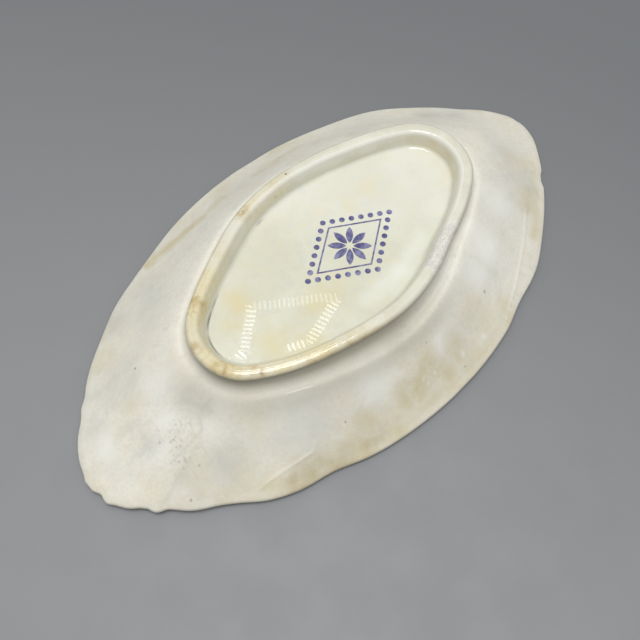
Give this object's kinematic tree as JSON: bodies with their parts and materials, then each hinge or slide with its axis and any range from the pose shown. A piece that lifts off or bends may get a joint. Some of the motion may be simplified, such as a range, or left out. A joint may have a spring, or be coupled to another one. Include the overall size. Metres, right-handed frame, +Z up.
{
  "type": "relish dish",
  "caption": "Shallow pointed-oval glazed earthenware dish with a gently scalloped rim and a lozenge-shaped foot ring, turned over on its rim, for serving relishes.",
  "frame": {"origin": "middle of the rim's plane, under the middle of the foot ring", "axes": "+X along the dish, +Y across it, +Z up through the foot ring; half a turn about X brings it to the way it is used"},
  "size_m": [0.24, 0.1356, 0.03],
  "materials": {
    "clay": "matte, wiped bare of glaze",
    "slip": "matte",
    "back_glaze": "worn off-white gloss with stains and creases",
    "well_glaze": "cream gloss, slightly rippled",
    "face_glaze": "off-white gloss",
    "print": "blue-violet print"
  },
  "bodies": {
    "root": {"dish_shell": "clay", "foot_ring": "clay", "slip_fillet": "slip", "back_glaze": "back_glaze", "well_glaze": "well_glaze", "face_glaze": "face_glaze", "printed_mark": "print"}
  },
  "joints": []
}
